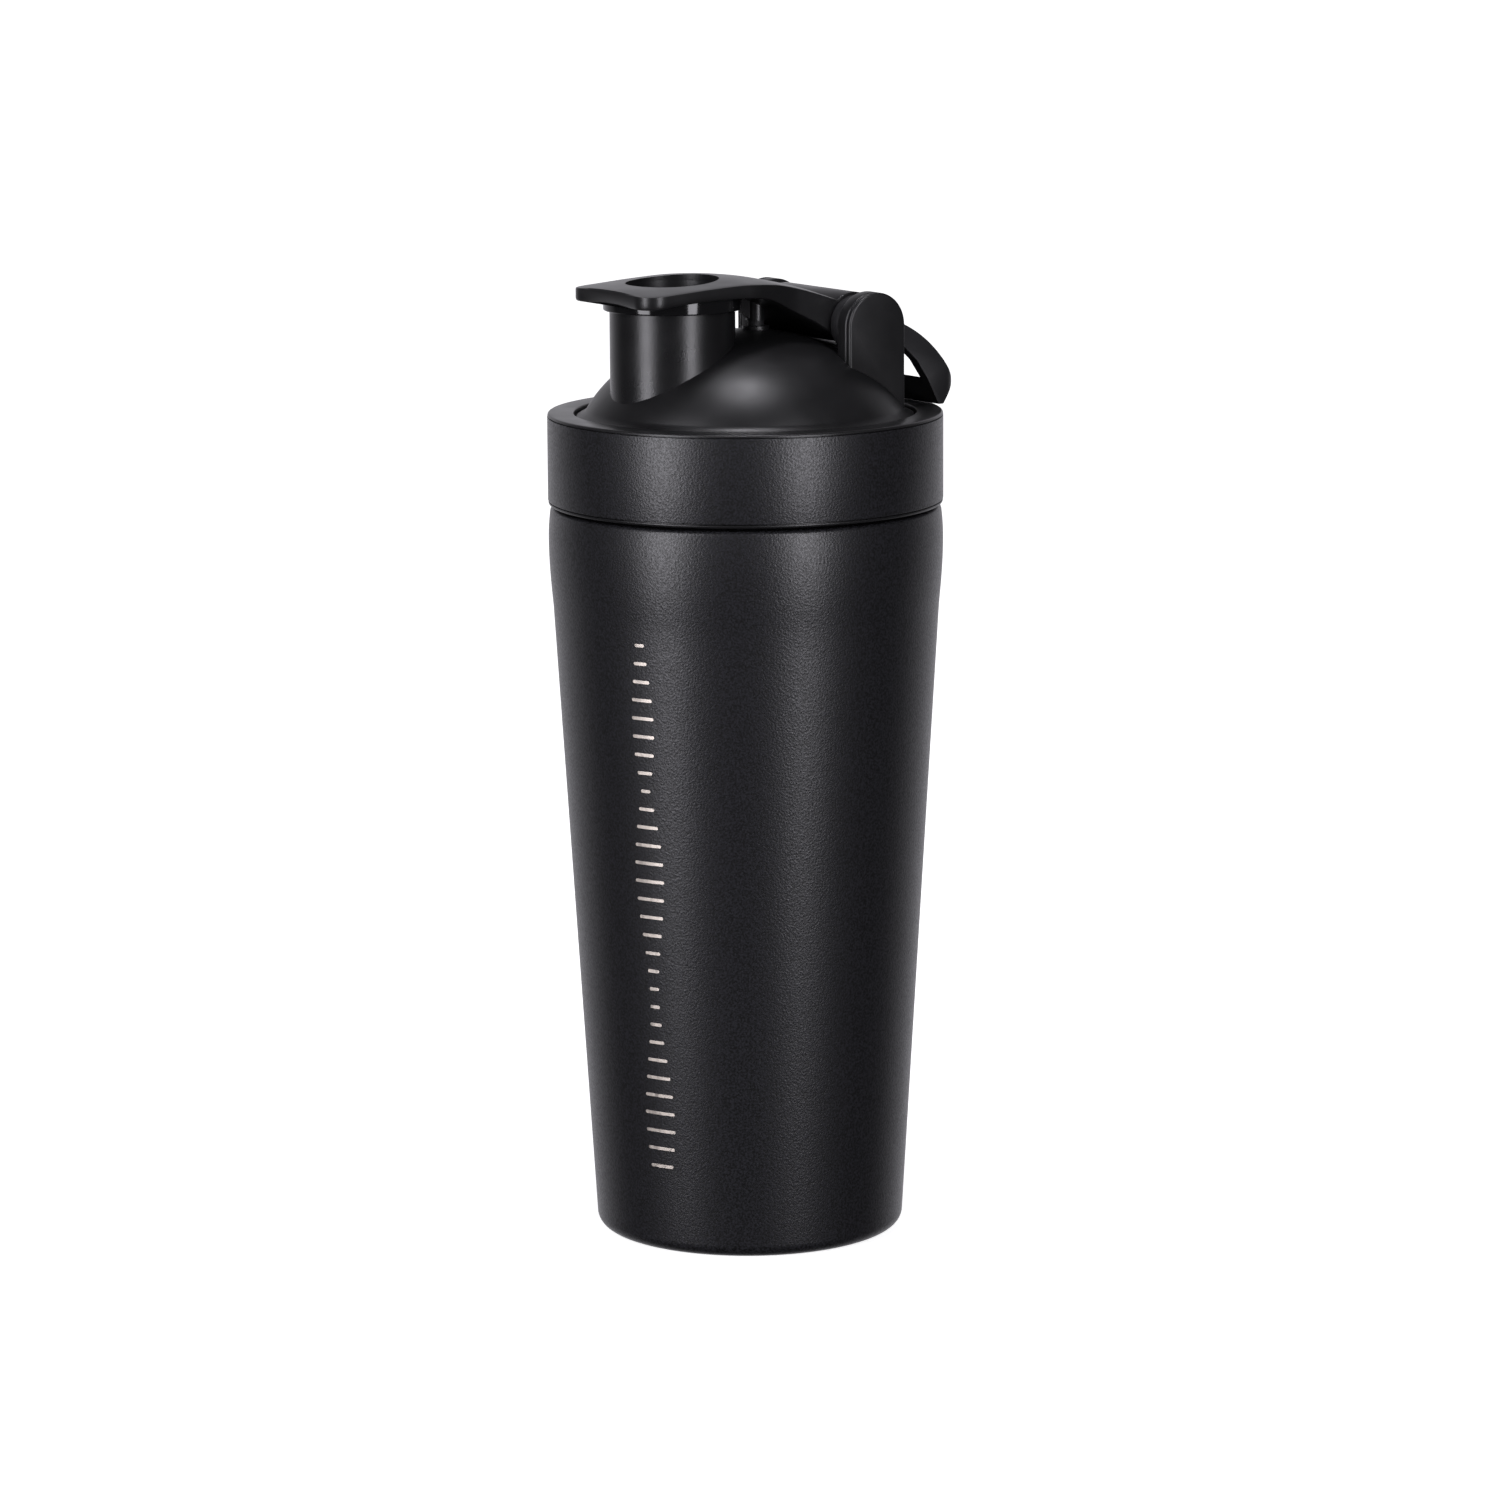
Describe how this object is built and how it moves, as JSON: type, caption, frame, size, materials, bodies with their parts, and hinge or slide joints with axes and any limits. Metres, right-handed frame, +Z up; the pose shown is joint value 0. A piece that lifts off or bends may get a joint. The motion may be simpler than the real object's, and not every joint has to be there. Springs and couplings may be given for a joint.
{
  "type": "insulated shaker bottle",
  "caption": "Double-wall steel shaker bottle with a screw lid, drinking spout, flip cap, carry loop and a loose wire mixing ball.",
  "frame": {"origin": "centre of the flat bottom face, on the bottle's axis", "axes": "+Z up along the bottle's axis; -Y towards the drinking spout, +Y towards the hinge and the carry loop; X along the hinge pin"},
  "size_m": [0.0962, 0.0979, 0.2358],
  "materials": {
    "coated_steel": "fine-grained powder coat",
    "bare_steel": "brushed",
    "ball_wire": "polished wire",
    "solder_glass": "fused bead",
    "satin_plastic": "satin",
    "matte_plastic": "fine matte",
    "glossy_plastic": "semi-gloss",
    "silicone": "matte"
  },
  "bodies": {
    "cup": {"outer_shell": "coated_steel", "inner_liner": "bare_steel", "vacuum_bottom": "bare_steel", "vacuum_seal": "solder_glass", "getter": "bare_steel", "base_cover": "coated_steel"},
    "lid_carrier": {"lid_gasket": "silicone"},
    "lid": {"collar_ring": "satin_plastic", "collar_sleeve": "coated_steel", "sleeve_retainer": "satin_plastic", "lid_dome": "matte_plastic", "ear_cover_near": "matte_plastic", "ear_cover_far": "matte_plastic", "hinge_pin": "bare_steel"},
    "cap": {"flip_cap": "glossy_plastic", "spout_plug": "glossy_plastic", "spout_seal": "silicone", "vent_seal": "silicone"},
    "loop": {"carry_loop": "matte_plastic"},
    "ball": {"mixer_ball": "ball_wire"}
  },
  "joints": [
    {"name": "lid_lift", "type": "slide", "parent": "cup", "child": "lid_carrier", "axis": [0, 0, 1], "range_m": [0, 0.01201]},
    {"name": "lid_turn", "type": "hinge", "parent": "lid_carrier", "child": "lid", "pos_m": [0, 0, 0.19], "axis": [0, 0, 1], "range_deg": [0, 432]},
    {"name": "cap_open", "type": "hinge", "parent": "lid", "child": "cap", "pos_m": [0, 0.0218, 0.22325], "axis": [-1, 0, 0], "range_deg": [0, 105]},
    {"name": "loop_swing", "type": "hinge", "parent": "lid", "child": "loop", "pos_m": [0, 0.0218, 0.22325], "axis": [1, 0, 0], "range_deg": [0, 55]},
    {"name": "ball_rise", "type": "slide", "parent": "cup", "child": "ball", "axis": [0, 0, 1], "range_m": [0, 0.11]}
  ],
  "couplings": [
    {"joint": "lid_lift", "follows": "lid_turn", "m_per_rad": 0.0015915}
  ]
}
